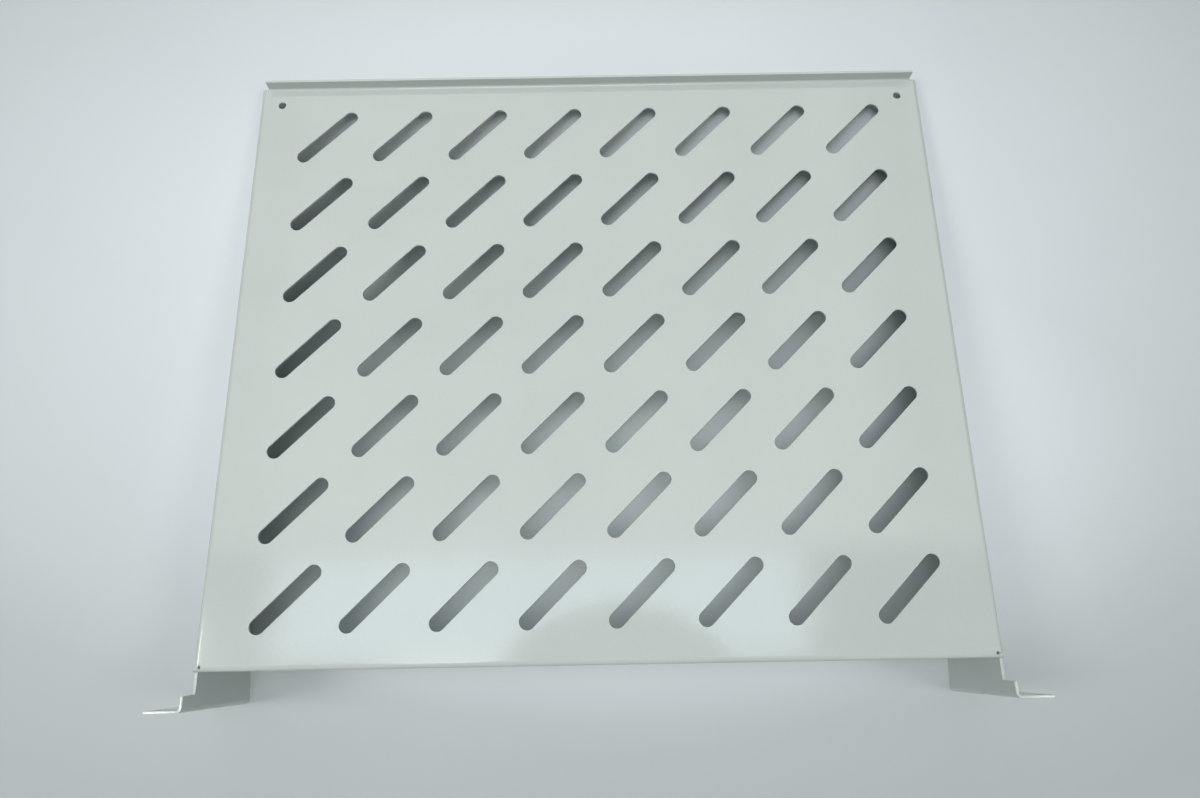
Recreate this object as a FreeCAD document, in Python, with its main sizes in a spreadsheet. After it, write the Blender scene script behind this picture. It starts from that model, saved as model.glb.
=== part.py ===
import FreeCAD, Part
import os

import Sketcher
from FreeCAD import Vector

# Rack shelf folded from one sheet, in millimetres.
# +X is to the right, +Y to the rear and +Z up. The deck is level, the ears reach down to Z = 0, and
# the origin is under the middle of the whole shelf, ears and rear lip included.

SIZES = [
    ("panel_width", 482.6, "ear tip to ear tip"),
    ("rack_unit", 44.45, "height of one rack unit"),
    ("unit_count", 2, "rack units that the ears cover"),
    ("panel_gap", 0.8, "ears are this much shorter than their rack units"),
    ("ear_width", 18.8, "ear tip beyond the outside of the wall"),
    ("ear_slot_inset", 8.75, "mounting slot's middle to the ear tip"),
    ("ear_slot_edge", 6.35, "mounting slot to the border of its rack unit"),
    ("ear_slot_length", 11, "mounting slot, end to end"),
    ("ear_slot_height", 7, "mounting slot, across"),
    ("ear_reach", 20.5, "ear front face ahead of the front flange"),
    ("ear_rise", 9.4, "ear top above the deck"),
    ("deck_depth", 377.5, "front flange face to the back of the lip"),
    ("gauge", 1.5, "thickness of the sheet"),
    ("bend_radius", 1.5, "inside radius of every fold"),
    ("neutral_share", 0.4, "neutral fibre, as a share of the gauge from the inside of a fold"),
    ("front_flange", 13, "front flange below the deck's top"),
    ("flange_clearance", 0.5, "flange end to the wall's inner face"),
    ("wall_drop", 4, "wall's upper edge below the deck's top, ahead of the front fold"),
    ("wall_rear", 10, "wall's lower edge below the deck's top, at the rear end"),
    ("blank_gap", 1.5, "strip cut away in the blank between the flange and the ear"),
    ("rear_lip", 7.5, "lip above the deck's top"),
    ("lip_setback", 5, "lip end to the outside of the wall"),
    ("relief_slit", 0.9, "width of the slits beside the front fold and the lip"),
    ("relief_hole", 1.8, "diameter of the hole at the end of a front slit"),
    ("relief_inset", 3.5, "relief hole to the outside of the wall"),
    ("vent_length", 50, "deck slot, end to end"),
    ("vent_width", 9, "deck slot, across"),
    ("vent_angle", 45, "slant of the deck slots in degrees, from +X towards +Y"),
    ("vent_pitch", 50, "spacing of the deck slots, both ways"),
    ("vent_margin", 16, "least distance from a deck slot to an edge of the deck"),
    ("tie_hole", 5, "diameter of the holes in the rear corners"),
    ("tie_hole_side", 14.8, "rear hole to the outside of the wall"),
    ("tie_hole_rear", 12.6, "rear hole to the lip's front face"),
]

# Places and sizes that follow from the ones above.
LAYOUT = [
    ("half_panel", "Sizes.panel_width / 2"),
    ("half_width", "half_panel - Sizes.ear_width"),
    ("wall_inside", "half_width - Sizes.gauge"),
    ("outer_radius", "Sizes.bend_radius + Sizes.gauge"),
    ("ear_top", "Sizes.unit_count * Sizes.rack_unit - Sizes.panel_gap"),
    ("deck_top", "ear_top - Sizes.ear_rise"),
    ("ear_face", "-(Sizes.ear_reach + Sizes.deck_depth) / 2"),
    ("ear_back", "ear_face + Sizes.gauge"),
    ("ear_fold", "ear_face + outer_radius"),
    ("ear_fold_side", "half_width + Sizes.bend_radius"),
    ("ear_slot_rise", "Sizes.unit_count * Sizes.rack_unit / 2 - Sizes.ear_slot_edge"),
    ("front_face", "ear_face + Sizes.ear_reach"),
    ("front_fold", "front_face + outer_radius"),
    ("fold_foot", "deck_top - outer_radius"),
    ("wall_rear_foot", "deck_top - Sizes.wall_rear"),
    ("flange_foot", "deck_top - Sizes.front_flange"),
    ("flange_side", "wall_inside - Sizes.flange_clearance"),
    ("fold_length", "pi / 2 * (Sizes.bend_radius + Sizes.neutral_share * Sizes.gauge)"),
    ("flange_blank", "fold_length + Sizes.front_flange - outer_radius"),
    ("step_face", "front_fold - flange_blank - Sizes.blank_gap"),
    ("step_foot", "deck_top - Sizes.wall_drop"),
    ("lip_back", "front_face + Sizes.deck_depth"),
    ("lip_face", "lip_back - Sizes.gauge"),
    ("lip_fold", "lip_face - Sizes.bend_radius"),
    ("lip_fold_top", "deck_top + Sizes.bend_radius"),
    ("lip_top", "deck_top + Sizes.rear_lip"),
    ("lip_side", "half_width - Sizes.lip_setback"),
    ("vent_reach", "Sizes.vent_length - Sizes.vent_width"),
    ("vent_extent_x", "vent_reach * cos(Sizes.vent_angle * 1 deg) + Sizes.vent_width"),
    ("vent_extent_y", "vent_reach * sin(Sizes.vent_angle * 1 deg) + Sizes.vent_width"),
    ("vent_room_x", "2 * half_width - 2 * Sizes.vent_margin - vent_extent_x"),
    ("vent_room_y", "lip_face - front_face - 2 * Sizes.vent_margin - vent_extent_y"),
    ("vent_columns", "floor(vent_room_x / Sizes.vent_pitch) + 1"),
    ("vent_rows", "floor(vent_room_y / Sizes.vent_pitch) + 1"),
    ("vent_field_x", "(vent_columns - 1) * Sizes.vent_pitch"),
    ("vent_field_y", "(vent_rows - 1) * Sizes.vent_pitch"),
    ("vent_first_x", "-vent_field_x / 2"),
    ("vent_first_y", "(front_face + lip_face - vent_field_y) / 2"),
]

doc = FreeCAD.newDocument("RackShelf")
sizes = doc.addObject("Spreadsheet::Sheet", "Sizes")
for row, (alias, value, meaning) in enumerate(SIZES, start=1):
    sizes.set(f"A{row}", meaning)
    sizes.set(f"B{row}", str(value))
    sizes.setAlias(f"B{row}", alias)
doc.recompute()

layout = doc.addObject("Spreadsheet::Sheet", "Layout")
for row, (alias, formula) in enumerate(LAYOUT, start=1):
    layout.set(f"B{row}", "=" + formula)
    layout.setAlias(f"B{row}", alias)
    doc.recompute()

body = doc.addObject("PartDesign::Body", "Shelf")
body.Label = "shelf"


def origin(role):
    """The body's own origin plane or axis of this role."""
    return next(item for item in body.Origin.OriginFeatures if item.Role == role)


def sketch_on(role, name, **offsets):
    """Empty sketch on an origin plane, shifted by the given offsets along its own x, y and z."""
    sketch = body.newObject("Sketcher::SketchObject", name)
    sketch.AttachmentSupport = [(origin(role), "")]
    sketch.MapMode = "FlatFace"
    for axis, place in offsets.items():
        sketch.setExpression(f"AttachmentOffset.Base.{axis}", place)
    return sketch


def bind(sketch, index, formula):
    """Ties one constraint's value to a formula of named sizes."""
    sketch.setExpression(f"Constraints[{index}]", formula)


def pin(sketch, edge, end, x, y):
    """Holds one end of an edge at the place that two formulas give."""
    for kind, formula in (("DistanceX", x), ("DistanceY", y)):
        value = sketch.evalExpression(formula)
        index = sketch.addConstraint(Sketcher.Constraint(kind, -1, 1, edge, end, float(value)))
        bind(sketch, index, formula)


def outline(sketch, corners):
    """Closed outline through pinned corners.

    A corner is (x, y), or (x, y, turn, radius) where a fold leads from it to the next corner:
    turn is 1 for a counter-clockwise arc and -1 for a clockwise one.
    """
    points = [Vector(*(float(sketch.evalExpression(f)) for f in corner[:2]), 0) for corner in corners]
    ends = []
    for index, corner in enumerate(corners):
        start = points[index]
        finish = points[(index + 1) % len(points)]
        if len(corner) == 2:
            edge = sketch.addGeometry(Part.LineSegment(start, finish))
            ends.append((edge, 1, 2))
            continue
        turn, radius = corner[2:]
        size = float(sketch.evalExpression(radius))
        chord = finish - start
        middle = (start + finish) / 2
        side = Vector(-chord.y, chord.x, 0).normalize() * turn
        reach = max(size ** 2 - chord.Length ** 2 / 4, 0) ** 0.5
        crown = middle + side * (reach - size)
        first, last = (start, finish) if turn > 0 else (finish, start)
        edge = sketch.addGeometry(Part.Arc(first, crown, last))
        ends.append((edge, 1, 2) if turn > 0 else (edge, 2, 1))
        bind(sketch, sketch.addConstraint(Sketcher.Constraint("Radius", edge, size)), radius)
    for index, (edge, start_end, finish_end) in enumerate(ends):
        next_edge, next_end, _ = ends[(index + 1) % len(ends)]
        sketch.addConstraint(Sketcher.Constraint("Coincident", edge, finish_end, next_edge, next_end))
        pin(sketch, edge, start_end, *corners[index][:2])


def box_outline(sketch, left, low, right, high):
    """Rectangle between two pairs of formulas."""
    outline(sketch, [(left, low), (right, low), (right, high), (left, high)])


def slot_outline(sketch, x, y, length, width):
    """Slot with round ends, lying along the sketch's x axis and centred on x, y."""
    centres = [f"{x} + ({length} - {width}) / 2", f"{x} - ({length} - {width}) / 2"]
    right, left = (Vector(*(float(sketch.evalExpression(f)) for f in (c, y)), 0) for c in centres)
    radius = float(sketch.evalExpression(f"{width} / 2"))
    up = Vector(0, radius, 0)
    out = Vector(radius, 0, 0)
    right_end = sketch.addGeometry(Part.Arc(right - up, right + out, right + up))
    upper = sketch.addGeometry(Part.LineSegment(right + up, left + up))
    left_end = sketch.addGeometry(Part.Arc(left + up, left - out, left - up))
    lower = sketch.addGeometry(Part.LineSegment(left - up, right - up))
    chain = [right_end, upper, left_end, lower]
    for edge, next_edge in zip(chain, chain[1:] + chain[:1]):
        sketch.addConstraint(Sketcher.Constraint("Tangent", edge, 2, next_edge, 1))
    sketch.addConstraint(Sketcher.Constraint("Equal", right_end, left_end))
    bind(sketch, sketch.addConstraint(Sketcher.Constraint("Radius", right_end, radius)), f"{width} / 2")
    pin(sketch, right_end, 3, centres[0], y)
    pin(sketch, left_end, 3, centres[1], y)


def circle(sketch, x, y, diameter):
    """Circle whose centre is pinned by two formulas."""
    centre = Vector(*(float(sketch.evalExpression(f)) for f in (x, y)), 0)
    size = float(sketch.evalExpression(diameter))
    edge = sketch.addGeometry(Part.Circle(centre, Vector(0, 0, 1), size / 2))
    bind(sketch, sketch.addConstraint(Sketcher.Constraint("Diameter", edge, size)), diameter)
    pin(sketch, edge, 3, x, y)


def pad(name, sketch, length, side="One side", reverse=False):
    """Adds sheet: the sketch pushed out along its normal."""
    feature = body.newObject("PartDesign::Pad", name)
    feature.Profile = sketch
    feature.SideType = side
    feature.Reversed = reverse
    feature.Refine = True
    feature.setExpression("Length", length)
    doc.recompute()
    return feature


def pocket(name, sketch, depth=None):
    """Cuts against the sketch's normal, to a depth or through everything."""
    before = body.Shape.Volume
    feature = body.newObject("PartDesign::Pocket", name)
    feature.Profile = sketch
    feature.Refine = True
    if depth is None:
        feature.Type = "ThroughAll"
    else:
        feature.setExpression("Length", depth)
    doc.recompute()
    if not body.Shape.Volume < before:
        raise RuntimeError(f"{name} cuts nothing")
    return feature


# Deck: a flat sheet that turns down in a fold along each side.
section = sketch_on("XZ_Plane", "DeckSection", z="-Layout.lip_face")
outline(section, [
    ("-Layout.wall_inside", "Layout.fold_foot", -1, "Sizes.bend_radius"),
    ("-Layout.half_width + Layout.outer_radius", "Layout.deck_top - Sizes.gauge"),
    ("Layout.half_width - Layout.outer_radius", "Layout.deck_top - Sizes.gauge", -1, "Sizes.bend_radius"),
    ("Layout.wall_inside", "Layout.fold_foot"),
    ("Layout.half_width", "Layout.fold_foot", 1, "Layout.outer_radius"),
    ("Layout.half_width - Layout.outer_radius", "Layout.deck_top"),
    ("-Layout.half_width + Layout.outer_radius", "Layout.deck_top", 1, "Layout.outer_radius"),
    ("-Layout.half_width", "Layout.fold_foot"),
])
pad("Deck", section, "Layout.lip_face - Layout.front_fold")

# Rear lip: the deck is cut back to the fold, with a relief slit at each end, and the lip turns up.
lip_cut = sketch_on("XY_Plane", "LipCutOutline", z="Layout.lip_top")
box_outline(
    lip_cut,
    "-Layout.lip_side - Sizes.relief_slit",
    "Layout.lip_fold",
    "Layout.lip_side + Sizes.relief_slit",
    "Layout.lip_back",
)
pocket("LipCut", lip_cut)
lip = sketch_on("YZ_Plane", "LipSection")
outline(lip, [
    ("Layout.lip_fold", "Layout.deck_top - Sizes.gauge", 1, "Layout.outer_radius"),
    ("Layout.lip_back", "Layout.lip_fold_top"),
    ("Layout.lip_back", "Layout.lip_top"),
    ("Layout.lip_face", "Layout.lip_top"),
    ("Layout.lip_face", "Layout.lip_fold_top", -1, "Sizes.bend_radius"),
    ("Layout.lip_fold", "Layout.deck_top"),
])
pad("Lip", lip, "2 * Layout.lip_side", "Symmetric")

# Front flange: the deck turns down over the full width.
flange = sketch_on("YZ_Plane", "FlangeSection")
outline(flange, [
    ("Layout.front_fold", "Layout.deck_top", 1, "Layout.outer_radius"),
    ("Layout.front_face", "Layout.fold_foot"),
    ("Layout.front_face", "Layout.flange_foot"),
    ("Layout.front_face + Sizes.gauge", "Layout.flange_foot"),
    ("Layout.front_face + Sizes.gauge", "Layout.fold_foot", -1, "Sizes.bend_radius"),
    ("Layout.front_fold", "Layout.deck_top - Sizes.gauge"),
])
pad("Flange", flange, "2 * Layout.half_width", "Symmetric")

# What follows is made on the right-hand side and mirrored to the left.
# Below its fold the flange is cut back to clear the wall's inner face.
flange_end = sketch_on("XZ_Plane", "FlangeEndOutline", z="-Layout.front_face")
box_outline(
    flange_end,
    "Layout.flange_side",
    "Layout.flange_foot",
    "Layout.half_width",
    "Layout.fold_foot",
)
flange_end_cut = pocket("FlangeEndCut", flange_end, "Layout.outer_radius")

# Relief where the side fold and the front fold meet: a slit from the side, ending in a round hole.
relief = sketch_on("XY_Plane", "ReliefOutline", z="Layout.deck_top")
relief_x = "Layout.half_width - Sizes.relief_inset"
slit_middle = "Layout.front_fold - Sizes.relief_slit / 2"
half_chord = "sqrt(Sizes.relief_hole ^ 2 - Sizes.relief_slit ^ 2) / 2"
outline(relief, [
    (f"{relief_x} + {half_chord}", f"{slit_middle} - Sizes.relief_slit / 2"),
    ("Layout.half_width", f"{slit_middle} - Sizes.relief_slit / 2"),
    ("Layout.half_width", f"{slit_middle} + Sizes.relief_slit / 2"),
    (f"{relief_x} + {half_chord}", f"{slit_middle} + Sizes.relief_slit / 2", 1, "Sizes.relief_hole / 2"),
    (f"{relief_x} - Sizes.relief_hole / 2", slit_middle, 1, "Sizes.relief_hole / 2"),
])
relief_cut = pocket("ReliefCut", relief, "Sizes.wall_drop")

# The wall hangs from the side fold and tapers from the ear's foot to a low rear end. Ahead of the deck it
# stays below the fold as far as the flange reached in the flat blank, and then steps up to the ear's top.
wall = sketch_on("YZ_Plane", "WallOutline", z="Layout.wall_inside")
outline(wall, [
    ("Layout.ear_fold", "0"),
    ("Layout.lip_face", "Layout.wall_rear_foot"),
    ("Layout.lip_face", "Layout.fold_foot"),
    ("Layout.front_fold", "Layout.fold_foot"),
    ("Layout.front_fold", "Layout.step_foot"),
    ("Layout.step_face", "Layout.step_foot"),
    ("Layout.step_face", "Layout.ear_top"),
    ("Layout.ear_fold", "Layout.ear_top"),
])
wall_pad = pad("Wall", wall, "Sizes.gauge")

# The ear turns outwards from the wall's front edge.
ear = sketch_on("XY_Plane", "EarSection")
outline(ear, [
    ("Layout.half_width", "Layout.ear_fold", 1, "Sizes.bend_radius"),
    ("Layout.ear_fold_side", "Layout.ear_back"),
    ("Layout.half_panel", "Layout.ear_back"),
    ("Layout.half_panel", "Layout.ear_face"),
    ("Layout.ear_fold_side", "Layout.ear_face", -1, "Layout.outer_radius"),
    ("Layout.wall_inside", "Layout.ear_fold"),
])
ear_pad = pad("Ear", ear, "Layout.ear_top")

# Mounting slots, one at each end of the ear, centred on the rack's hole pattern.
ear_slots = sketch_on("XZ_Plane", "EarSlotOutline", z="-Layout.ear_face")
for direction in ("-", "+"):
    slot_outline(
        ear_slots,
        "Layout.half_panel - Sizes.ear_slot_inset",
        f"(Layout.ear_top / 2 {direction} Layout.ear_slot_rise)",
        "Sizes.ear_slot_length",
        "Sizes.ear_slot_height",
    )
ear_slot_cut = pocket("EarSlotCut", ear_slots)

# Round hole in the deck's rear corner.
tie_hole = sketch_on("XY_Plane", "TieHoleOutline", z="Layout.deck_top")
circle(
    tie_hole,
    "Layout.half_width - Sizes.tie_hole_side",
    "Layout.lip_face - Sizes.tie_hole_rear",
    "Sizes.tie_hole",
)
tie_hole_cut = pocket("TieHoleCut", tie_hole)

mirror = body.newObject("PartDesign::Mirrored", "LeftHandSide")
mirror.Originals = [flange_end_cut, relief_cut, wall_pad, ear_pad, ear_slot_cut, tie_hole_cut]
mirror.MirrorPlane = (origin("YZ_Plane"), [""])
mirror.Refine = True
body.Tip = mirror
doc.recompute()

# Slanted vent slots over the whole deck: the front left one, repeated in as many columns and rows as fit.
vent = sketch_on(
    "XY_Plane",
    "VentOutline",
    x="Layout.vent_first_x",
    y="Layout.vent_first_y",
    z="Layout.deck_top",
)
vent.setExpression("AttachmentOffset.Rotation.Angle", "Sizes.vent_angle * 1 deg")
slot_outline(vent, "0", "0", "Sizes.vent_length", "Sizes.vent_width")
vent_cut = pocket("VentCut", vent, "Layout.outer_radius")

vents = body.newObject("PartDesign::LinearPattern", "Vents")
vents.Originals = [vent_cut]
vents.Direction = (origin("X_Axis"), [""])
vents.Direction2 = (origin("Y_Axis"), [""])
vents.setExpression("Length", "Layout.vent_field_x")
vents.setExpression("Length2", "Layout.vent_field_y")
vents.setExpression("Occurrences", "Layout.vent_columns")
vents.setExpression("Occurrences2", "Layout.vent_rows")
vents.Refine = True
body.Tip = vents
doc.recompute()

# Every object has to be sound before the shelf is written.
for item in doc.Objects:
    if "Invalid" in item.State or "Error" in item.State:
        raise RuntimeError(f"{item.Name} failed: {item.State}")
shape = body.Shape
if shape.isNull() or not shape.isValid() or len(shape.Solids) != 1:
    raise RuntimeError("the shelf isn't one sound solid")

os.makedirs("parts", exist_ok=True)
shape.exportStep(os.path.join("parts", body.Label + ".step"))
box = shape.BoundBox
print(f"{body.Label}: {box.XLength:.2f} x {box.YLength:.2f} x {box.ZLength:.2f} mm, {shape.Volume:.0f} mm3")
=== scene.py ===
# %% [markdown]
# # A rack shelf folded from one sheet
#
# The real shelf is a single steel sheet: a slotted deck, two side walls folded down, a front flange, a low
# lip along the rear and an ear at each front corner that is screwed to the rack. It is painted with a light
# grey powder coat. Its exact form comes from the imported model, and this lesson gives it soft paint edges,
# a finish, a floor, light and a camera.

# %% The imported model
import math

import bmesh
import bpy
from mathutils import Matrix, Vector


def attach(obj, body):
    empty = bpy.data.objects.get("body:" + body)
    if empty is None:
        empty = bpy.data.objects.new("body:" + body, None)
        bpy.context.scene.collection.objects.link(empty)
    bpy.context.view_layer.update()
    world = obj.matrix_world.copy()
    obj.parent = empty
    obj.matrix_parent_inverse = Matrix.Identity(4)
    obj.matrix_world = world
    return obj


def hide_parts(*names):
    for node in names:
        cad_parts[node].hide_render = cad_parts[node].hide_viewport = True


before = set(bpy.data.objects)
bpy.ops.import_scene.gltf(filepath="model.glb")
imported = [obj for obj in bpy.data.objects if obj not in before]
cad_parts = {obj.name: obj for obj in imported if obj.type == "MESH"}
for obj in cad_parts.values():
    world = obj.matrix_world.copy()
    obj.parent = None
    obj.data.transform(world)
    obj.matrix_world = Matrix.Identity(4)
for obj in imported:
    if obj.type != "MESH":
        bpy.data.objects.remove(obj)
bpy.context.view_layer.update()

MM = 0.001
scene = bpy.context.scene
sheet_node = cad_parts["shelf"]

# %% [markdown]
# ## The camera
#
# A photograph of a flat thing full of equal slots tells where its camera stood: the slots shrink towards the
# rear, and their rows show how far the camera leans. The camera could be turned by eye until it looks right,
# but here its place, its three angles and its lens come from fitting the slot grid, so the framing is exact.
# It stands over the front edge and looks steeply down through a wide lens.

# %% Camera over the front edge
CAMERA_PLACE = Vector((1.93, -172.41, 553.43)) * MM
CAMERA_ANGLES = (17.103, 0.154, -0.995)
LENS_MM = 24.80
SENSOR_MM = 36.0
CLIP_START = 10.0 * MM

camera_data = bpy.data.cameras.new("camera")
camera_data.sensor_width = SENSOR_MM
camera_data.lens = LENS_MM
camera_data.clip_start = CLIP_START
camera = bpy.data.objects.new("camera", camera_data)
camera.location = CAMERA_PLACE
camera.rotation_euler = [math.radians(angle) for angle in CAMERA_ANGLES]
scene.collection.objects.link(camera)
scene.camera = camera
print("camera looks down", round(90 - CAMERA_ANGLES[0], 1), "degrees")

# %% [markdown]
# ## The folded sheet
#
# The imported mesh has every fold, slot and hole, but its cut edges are perfectly sharp, and paint never is:
# powder coat flows round an edge and leaves a small radius that catches the light as a thin line. The edges
# could be rounded in the material with a Bevel node, but a real bevel also stays in the exported mesh. So
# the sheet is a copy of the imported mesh. Its loose triangles are merged, flat areas are dissolved into large
# faces, and every edge sharper than a fold facet gets a narrow bevel.

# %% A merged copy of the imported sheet
MERGE_GAP = 0.002 * MM
FLAT_ANGLE = math.radians(0.3)

work = bmesh.new()
work.from_mesh(sheet_node.data)
bmesh.ops.remove_doubles(work, verts=work.verts[:], dist=MERGE_GAP)
bmesh.ops.dissolve_limit(
    work,
    angle_limit=FLAT_ANGLE,
    verts=work.verts[:],
    edges=work.edges[:],
)
open_edges = [edge for edge in work.edges if not edge.is_manifold]
print("merged sheet:", len(work.faces), "faces,", len(open_edges), "open edges")

# %% Edges that get a bevel
SHARP_ANGLE = math.radians(40)
BODY_SIDE = 222.5 * MM
RELIEF_FRONT = -177.0 * MM
RELIEF_REAR = 197.5 * MM
RELIEF_ZONE = 6.0 * MM

relief_ends = [Vector((x, y)) for x in (-BODY_SIDE, BODY_SIDE) for y in (RELIEF_FRONT, RELIEF_REAR)]


def near_relief(edge):
    """True at the narrow relief slits, which have no room for a bevel."""
    return any((vert.co.xy - end).length < RELIEF_ZONE for vert in edge.verts for end in relief_ends)


cut_edges = [
    edge for edge in work.edges
    if edge.is_manifold and edge.calc_face_angle() > SHARP_ANGLE and not near_relief(edge)
]
print("cut edges:", len(cut_edges), "of", len(work.edges))

# %% Paint edges
PAINT_RADIUS = 0.22 * MM
PAINT_SEGMENTS = 2
QUAD_CORNERS = 4

bmesh.ops.bevel(
    work,
    geom=cut_edges,
    offset=PAINT_RADIUS,
    offset_type="OFFSET",
    affect="EDGES",
    segments=PAINT_SEGMENTS,
    profile=0.5,
    material=-1,
    clamp_overlap=False,
)
bmesh.ops.triangulate(work, faces=[face for face in work.faces if len(face.verts) > QUAD_CORNERS])
for face in work.faces:
    face.smooth = True
sheet_mesh = bpy.data.meshes.new("folded_sheet")
work.to_mesh(sheet_mesh)
work.free()
sheet = bpy.data.objects.new("folded_sheet", sheet_mesh)
scene.collection.objects.link(sheet)
print("bevelled sheet:", len(sheet_mesh.polygons), "faces")

# %% Shading that keeps the flats flat
FLAT_WEIGHT = 90

sheet_mesh.set_sharp_from_angle(angle=SHARP_ANGLE)
flatten = sheet.modifiers.new("flat_shading", "WEIGHTED_NORMAL")
flatten.weight = FLAT_WEIGHT
flatten.keep_sharp = True

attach(sheet, "root")
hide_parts("shelf")
print("the folded sheet stands for the packed one")

# %% [markdown]
# ## The powder coat
#
# Powder coat is sprayed on dry and melted in an oven. It comes out as a semi-gloss skin with a fine orange
# peel: shallow dimples a few millimetres apart that make reflections a little grainy. A flat colour would
# look like plastic. Two noise layers give the colour a faint cloudiness and grain, a third drives the bump,
# and the roughness varies slightly with the grain.

# %% Helpers for patterns in a material
def noise(tree, place, per_metre, detail):
    """Noise in the object's own metres, so it keeps its size on every side."""
    node = tree.nodes.new("ShaderNodeTexNoise")
    node.inputs["Scale"].default_value = per_metre
    node.inputs["Detail"].default_value = detail
    tree.links.new(place.outputs["Object"], node.inputs["Vector"])
    return node.outputs["Fac"]


def tones(tree, source, stops):
    """Colour ramp with the given positions and colours; a new ramp has two stops."""
    node = tree.nodes.new("ShaderNodeValToRGB")
    ramp_stops = node.color_ramp.elements
    while len(ramp_stops) < len(stops):
        ramp_stops.new(position=0.5)
    for stop, (position, colour) in zip(ramp_stops, stops):
        stop.position = position
        stop.color = (*colour, 1)
    tree.links.new(source, node.inputs["Fac"])
    return node.outputs["Color"]


def multiplied(tree, first, second):
    """One colour times another."""
    node = tree.nodes.new("ShaderNodeMix")
    node.data_type = "RGBA"
    node.blend_type = "MULTIPLY"
    node.inputs["Factor"].default_value = 1.0
    tree.links.new(first, node.inputs["A"])
    tree.links.new(second, node.inputs["B"])
    return node.outputs["Result"]


def mapped(tree, source, old, new, kind):
    """A value carried from an old range to a new one."""
    node = tree.nodes.new("ShaderNodeMapRange")
    node.interpolation_type = kind
    for name, value in zip(("From Min", "From Max", "To Min", "To Max"), (*old, *new)):
        node.inputs[name].default_value = value
    tree.links.new(source, node.inputs["Value"])
    return node.outputs["Result"]


print("helpers: noise, tones, multiplied, mapped")

# %% Colour and gloss of the coat
CLOUDS_PER_METRE = 14
CLOUD_DETAIL = 3
CLOUD_TONES = [(0.3, (0.480, 0.535, 0.510)), (0.7, (0.506, 0.562, 0.537))]
GRAINS_PER_METRE = 900
GRAIN_DETAIL = 2
GRAIN_TONES = [(0.3, (0.97, 0.97, 0.97)), (0.7, (1.0, 1.0, 1.0))]
GLOSS_RANGE = (0.09, 0.12)

coat = bpy.data.materials.new("grey_powder_coat")
coat.use_nodes = True
coat_tree = coat.node_tree
coat_shader = coat_tree.nodes["Principled BSDF"]
coat_place = coat_tree.nodes.new("ShaderNodeTexCoord")
clouds = noise(coat_tree, coat_place, CLOUDS_PER_METRE, CLOUD_DETAIL)
grain = noise(coat_tree, coat_place, GRAINS_PER_METRE, GRAIN_DETAIL)
coat_colour = multiplied(
    coat_tree,
    tones(coat_tree, clouds, CLOUD_TONES),
    tones(coat_tree, grain, GRAIN_TONES),
)
coat_gloss = mapped(coat_tree, grain, old=(0.0, 1.0), new=GLOSS_RANGE, kind="LINEAR")
coat_tree.links.new(coat_colour, coat_shader.inputs["Base Color"])
coat_tree.links.new(coat_gloss, coat_shader.inputs["Roughness"])
sheet_mesh.materials.clear()
sheet_mesh.materials.append(coat)
print("powder coat: roughness", GLOSS_RANGE)

# %% Orange peel
DIMPLES_PER_METRE = 420
DIMPLE_DETAIL = 1.5
DIMPLE_DEPTH = 0.03 * MM

dimples = coat_tree.nodes.new("ShaderNodeBump")
dimples.inputs["Strength"].default_value = 1.0
dimples.inputs["Distance"].default_value = DIMPLE_DEPTH
peel = noise(coat_tree, coat_place, DIMPLES_PER_METRE, DIMPLE_DETAIL)
coat_tree.links.new(peel, dimples.inputs["Height"])
coat_tree.links.new(dimples.outputs["Normal"], coat_shader.inputs["Normal"])
print("powder coat:", len(coat_tree.nodes), "nodes")

# %% [markdown]
# ## The floor
#
# In the rack the deck is level, but off the rack the shelf lies on the lower edges of its walls, and these
# taper, so the floor under it leans. The shelf could be turned instead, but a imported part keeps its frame.
# So the floor is turned: a wide grid is rotated about the X axis by the slope of the walls' lower edges and
# moved until it touches them.

# %% Floor under the walls' lower edges
FLOOR_HALF = 6.0
WALL_FRONT = Vector((0, -196.0, 0)) * MM
WALL_REAR = Vector((0, 197.5, 68.7)) * MM
wall_edge = WALL_REAR - WALL_FRONT
floor_slope = math.atan2(wall_edge.z, wall_edge.y)

floor_shape = bmesh.new()
bmesh.ops.create_grid(floor_shape, x_segments=1, y_segments=1, size=FLOOR_HALF)
bmesh.ops.rotate(
    floor_shape,
    verts=floor_shape.verts[:],
    cent=(0, 0, 0),
    matrix=Matrix.Rotation(floor_slope, 3, "X"),
)
bmesh.ops.translate(floor_shape, verts=floor_shape.verts[:], vec=WALL_FRONT)
floor_mesh = bpy.data.meshes.new("floor")
floor_shape.to_mesh(floor_mesh)
floor_shape.free()
floor = bpy.data.objects.new("floor", floor_mesh)
scene.collection.objects.link(floor)
print("floor leans", round(math.degrees(floor_slope), 2), "degrees")

# %% [markdown]
# ## Painted light on the floor
#
# The floor's colour carries painted light: it is lightest where the lamps meet and greyer towards the front
# and the corners of the picture, a painted shade. A wide lamp could make that falloff, but it would also
# change the shelf. So the floor's own colour fades outwards in a soft oval, a painted falloff of light, a
# second, paler oval under the slots is a painted pool of light, and a faint cloudiness keeps it from looking
# like empty paper. Each oval is a round gradient, stretched by a Mapping node.

# %% Ovals on the floor
FLOOR_ROUGHNESS = 0.6
ANY_HEIGHT = 1000

floor_paint = bpy.data.materials.new("pale_floor")
floor_paint.use_nodes = True
floor_tree = floor_paint.node_tree
floor_nodes = floor_tree.nodes
floor_links = floor_tree.links
floor_shader = floor_nodes["Principled BSDF"]
floor_shader.inputs["Roughness"].default_value = FLOOR_ROUGHNESS
floor_place = floor_nodes.new("ShaderNodeTexCoord")
floor_mesh.materials.append(floor_paint)


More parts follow.
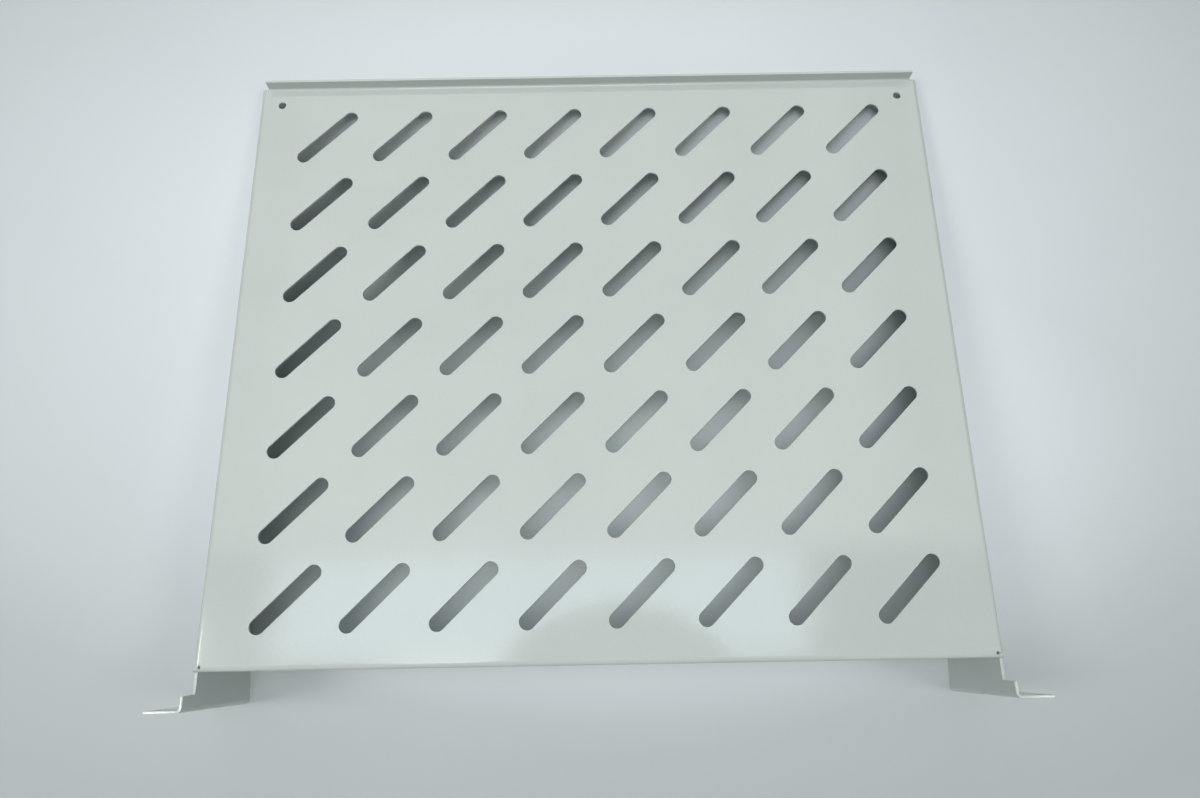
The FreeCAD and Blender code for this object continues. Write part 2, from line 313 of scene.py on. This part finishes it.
def oval(middle, radii):
    """Round fade on the floor: 1 at the middle and 0 at the radii, in metres, at any height."""
    stretch = floor_nodes.new("ShaderNodeMapping")
    stretch.vector_type = "TEXTURE"
    stretch.inputs["Location"].default_value = (*middle, 0)
    stretch.inputs["Scale"].default_value = (*radii, ANY_HEIGHT)
    floor_links.new(floor_place.outputs["Object"], stretch.inputs["Vector"])
    fade = floor_nodes.new("ShaderNodeTexGradient")
    fade.gradient_type = "SPHERICAL"
    floor_links.new(stretch.outputs["Vector"], fade.inputs["Vector"])
    return fade.outputs["Fac"]


print("floor paint:", floor_paint.name, "with roughness", FLOOR_ROUGHNESS)

# %% Pale floor with painted light
FALLOFF_MIDDLE = (0, 0.10)
FALLOFF_RADII = (0.70, 0.42)
# Painted light falloff: the floor's tones darken outwards, a painted shade towards the front and the corners.
PAINTED_FALLOFF_TONES = [
    (0.04, (0.406, 0.448, 0.458)),
    (0.20, (0.440, 0.486, 0.496)),
    (0.30, (0.500, 0.550, 0.562)),
    (0.50, (0.570, 0.628, 0.642)),
    (0.66, (0.632, 0.698, 0.712)),
]
# A paler oval under the slots is a painted pool of light on the floor.
PAINTED_POOL_MIDDLE = (0.04, -0.06)
PAINTED_POOL_RADII = (0.34, 0.16)
PAINTED_POOL_TONE = (0.785, 0.870, 0.890)
HAZE_PER_METRE = 11
HAZE_DETAIL = 4
HAZE_TONES = [(0.35, (0.985, 0.985, 0.985)), (0.65, (1.0, 1.0, 1.0))]

# The soft oval paints the falloff of light and shade into the floor's colour.
falloff = tones(floor_tree, oval(FALLOFF_MIDDLE, FALLOFF_RADII), PAINTED_FALLOFF_TONES)
# Mix the painted pool of light under the slots over the painted falloff.
under = floor_nodes.new("ShaderNodeMix")
under.data_type = "RGBA"
under.inputs["B"].default_value = (*PAINTED_POOL_TONE, 1)
floor_links.new(oval(PAINTED_POOL_MIDDLE, PAINTED_POOL_RADII), under.inputs["Factor"])
floor_links.new(falloff, under.inputs["A"])
haze = tones(floor_tree, noise(floor_tree, floor_place, HAZE_PER_METRE, HAZE_DETAIL), HAZE_TONES)
# The floor's colour with its painted falloff, painted pool of light and faint cloudiness.
floor_colour_with_painted_light = multiplied(floor_tree, under.outputs["Result"], haze)
floor_links.new(floor_colour_with_painted_light, floor_shader.inputs["Base Color"])
print("floor tones:", len(PAINTED_FALLOFF_TONES), "steps,", len(floor_nodes), "nodes")

# %% [markdown]
# ## The even backdrop
#
# A studio sweep has no horizon: the table runs into the wall behind it in one tone. A curved sheet could be
# built, but it would have to stand behind the shelf for every view. Here the floor turns into an even pale
# grey, well away from the shelf, and the world has the same grey near the horizon. Only the camera and the
# glossy coat see it, so it puts no light on the shelf. From below the camera looks through the floor, so
# that the underside can be seen too.

# %% Helpers for what only the camera sees
sight = floor_nodes.new("ShaderNodeLightPath")


def seen(source):
    """The factor for what the camera sees, and nothing for the light that bounces."""
    node = floor_nodes.new("ShaderNodeMath")
    node.operation = "MULTIPLY"
    floor_links.new(source, node.inputs[0])
    floor_links.new(sight.outputs["Is Camera Ray"], node.inputs[1])
    return node.outputs["Value"]


def mixed(tree, factor, first, second):
    """Mix of two shaders by a factor."""
    node = tree.nodes.new("ShaderNodeMixShader")
    tree.links.new(factor, node.inputs[0])
    tree.links.new(first, node.inputs[1])
    tree.links.new(second, node.inputs[2])
    return node.outputs["Shader"]


print("helpers: seen, mixed")

# %% Floor that runs into the backdrop
BACKDROP = (0.45, 0.50, 0.51)
FADE_RADIUS = 1.2
FADE_START = 0.54
FADE_END = 0.936

fade_range = [1 - distance / FADE_RADIUS for distance in (FADE_END, FADE_START)]
far_oval = oval(middle=(0, 0), radii=(FADE_RADIUS, FADE_RADIUS))
far_away = mapped(floor_tree, far_oval, old=fade_range, new=(1.0, 0.0), kind="SMOOTHSTEP")
sweep = floor_nodes.new("ShaderNodeEmission")
sweep.inputs["Color"].default_value = (*BACKDROP, 1)
swept = mixed(floor_tree, seen(far_away), floor_shader.outputs["BSDF"], sweep.outputs["Emission"])

sides = floor_nodes.new("ShaderNodeNewGeometry")
through = floor_nodes.new("ShaderNodeBsdfTransparent")
from_below = seen(sides.outputs["Backfacing"])
open_below = mixed(floor_tree, from_below, swept, through.outputs["BSDF"])
floor_links.new(open_below, floor_nodes["Material Output"].inputs["Surface"])
print("the floor is even beyond", FADE_END, "m")

# %% World with a pale horizon
FILL_LEVEL = 0.12
HORIZON_HEIGHTS = (0.35, 0.65)
HORIZON_LEVELS = (1.0, 0.25)

world = bpy.data.worlds.new("room")
scene.world = world
world.use_nodes = True
world_tree = world.node_tree
world_nodes = world_tree.nodes
world_links = world_tree.links
fill = world_nodes["Background"]
fill.inputs["Color"].default_value = (1.0, 1.0, 1.0, 1)
fill.inputs["Strength"].default_value = FILL_LEVEL
horizon = world_nodes.new("ShaderNodeBackground")
horizon.inputs["Color"].default_value = (*BACKDROP, 1)
direction = world_nodes.new("ShaderNodeTexCoord")
height = world_nodes.new("ShaderNodeSeparateXYZ")
world_links.new(direction.outputs["Generated"], height.inputs["Vector"])
level = mapped(world_tree, height.outputs["Z"], HORIZON_HEIGHTS, HORIZON_LEVELS, kind="SMOOTHSTEP")
world_links.new(level, horizon.inputs["Strength"])
print("world: fill of", FILL_LEVEL, "and a horizon of", BACKDROP)

# %% Rays that see the horizon
rays = world_nodes.new("ShaderNodeLightPath")
shown = rays.outputs["Is Camera Ray"]
for name in ("Is Glossy Ray", "Is Transmission Ray"):
    either = world_nodes.new("ShaderNodeMath")
    either.operation = "MAXIMUM"
    world_links.new(shown, either.inputs[0])
    world_links.new(rays.outputs[name], either.inputs[1])
    shown = either.outputs["Value"]
room = mixed(world_tree, shown, fill.outputs["Background"], horizon.outputs["Background"])
world_links.new(room, world_nodes["World Output"].inputs["Surface"])
print("world:", len(world_nodes), "nodes")

# %% [markdown]
# ## The light
#
# The shelf lies in soft room light. Three ceiling fixtures, over the front edge and to its left and right,
# are the main sources, and their light falls through the slots in three soft bands. A cooler strip, straight
# above the deck, is what the glossy coat mirrors as a pale sheen along the front. Fainter panels behind and
# in front keep the shadows open. One large lamp could give the same amount of light, but then the bands under
# the deck would run together. Each lamp is a wide rectangle, because small lamps throw hard shadows. Its
# strength is given as brightness, so that a panel keeps its look when its size changes: the power is the
# brightness times pi times the area. The ceiling's veil shows only in the coat, and lights nothing.

# %% Helper for a soft lamp
WARM_WHITE = (1.0, 0.975, 0.95)
COOL_WHITE = (0.72, 0.86, 1.0)


def panel(name, place, target, size, brightness, colour=WARM_WHITE):
    """Wide soft rectangle lamp at a place, aimed at a target point."""
    lamp = bpy.data.lights.new(name, "AREA")
    lamp.shape = "RECTANGLE"
    lamp.size, lamp.size_y = size
    lamp.energy = brightness * math.pi * lamp.size * lamp.size_y
    lamp.color = colour
    holder = bpy.data.objects.new(name, lamp)
    holder.location = place
    aim = Vector(target) - Vector(place)
    holder.rotation_euler = aim.to_track_quat("-Z", "Y").to_euler()
    holder.visible_camera = False
    scene.collection.objects.link(holder)
    return holder


print("lamp colours:", WARM_WHITE, "and", COOL_WHITE)

# %% Panels in the ceiling
CEILING = 2.08
VEIL_DROP = 0.01


def ceiling_panel(name, x, y, size, brightness, colour=WARM_WHITE, drop=0.0):
    """Panel in the ceiling, or a little below it, that shines straight down."""
    return panel(name, (x, y, CEILING - drop), (x, y, 0), size, brightness, colour)


ceiling_panel("middle_fixture", x=-0.15, y=-0.575, size=(0.90, 0.75), brightness=6.6)
ceiling_panel("left_fixture", x=-1.80, y=-0.32, size=(1.20, 0.50), brightness=14.2)
ceiling_panel("right_fixture", x=1.65, y=-0.575, size=(0.90, 0.75), brightness=7.8)
ceiling_panel("sheen_strip", x=-0.18, y=-0.045, size=(1.56, 0.31), brightness=4.7, colour=COOL_WHITE)
ceiling_panel("rear_ceiling", x=-0.05, y=0.96, size=(1.90, 1.68), brightness=0.6)
ceiling_panel("front_ceiling", x=0.30, y=-1.45, size=(1.80, 0.40), brightness=0.5)
veil = ceiling_panel("ceiling_veil", x=0, y=1.27, size=(3.2, 2.3), brightness=1.6, drop=VEIL_DROP)
veil.visible_diffuse = False

# %% Panels at the walls of the room
WALL_SIZE = (2.4, 1.6)
WALL_TARGET = (0, 0, 0.3)

panel("rear_wall", place=(0, 2.2, 1.2), target=WALL_TARGET, size=WALL_SIZE, brightness=0.4)
panel("front_wall", place=(0, -2.2, 1.0), target=WALL_TARGET, size=WALL_SIZE, brightness=0.45)
scene.view_settings.view_transform = "Standard"

# %% [markdown]
# ## The dark flag
#
# A studio flag is a dark card that takes light away. Here it hangs just above the camera, and the glossy
# deck mirrors it as a darker arch in the sheen, at the middle of the front edge. The card could also shade
# the deck, but only its reflection is wanted, so it throws no shadow, and the camera doesn't see it.

# %% Flag above the camera
FLAG_SIZE = (0.32, 0.60)
FLAG_PLACE = Vector((0.018, -0.417, 0.62))
FLAG_ROUND = 0.14
FLAG_SEGMENTS = 6
HALF_UNIT = 0.5

flag_shape = bmesh.new()
bmesh.ops.create_grid(flag_shape, x_segments=1, y_segments=1, size=HALF_UNIT)
bmesh.ops.scale(flag_shape, verts=flag_shape.verts[:], vec=(*FLAG_SIZE, 1))
bmesh.ops.translate(flag_shape, verts=flag_shape.verts[:], vec=FLAG_PLACE)
bmesh.ops.bevel(
    flag_shape,
    geom=flag_shape.verts[:],
    offset=FLAG_ROUND,
    offset_type="OFFSET",
    affect="VERTICES",
    segments=FLAG_SEGMENTS,
    profile=0.5,
    material=-1,
)
flag_mesh = bpy.data.meshes.new("flag")
flag_shape.to_mesh(flag_mesh)
flag_shape.free()
flag = bpy.data.objects.new("flag", flag_mesh)
flag.visible_camera = False
flag.visible_shadow = False
flag.visible_diffuse = False
scene.collection.objects.link(flag)
print("flag:", FLAG_SIZE, "m,", len(flag_mesh.vertices), "corners")

# %% Dark cloth of the flag
FLAG_TONE = (0.1, 0.1, 0.1)

flag_paint = bpy.data.materials.new("dark_cloth")
flag_paint.use_nodes = True
flag_shader = flag_paint.node_tree.nodes["Principled BSDF"]
flag_shader.inputs["Base Color"].default_value = (*FLAG_TONE, 1)
flag_mesh.materials.append(flag_paint)
print("flag cloth:", FLAG_TONE)
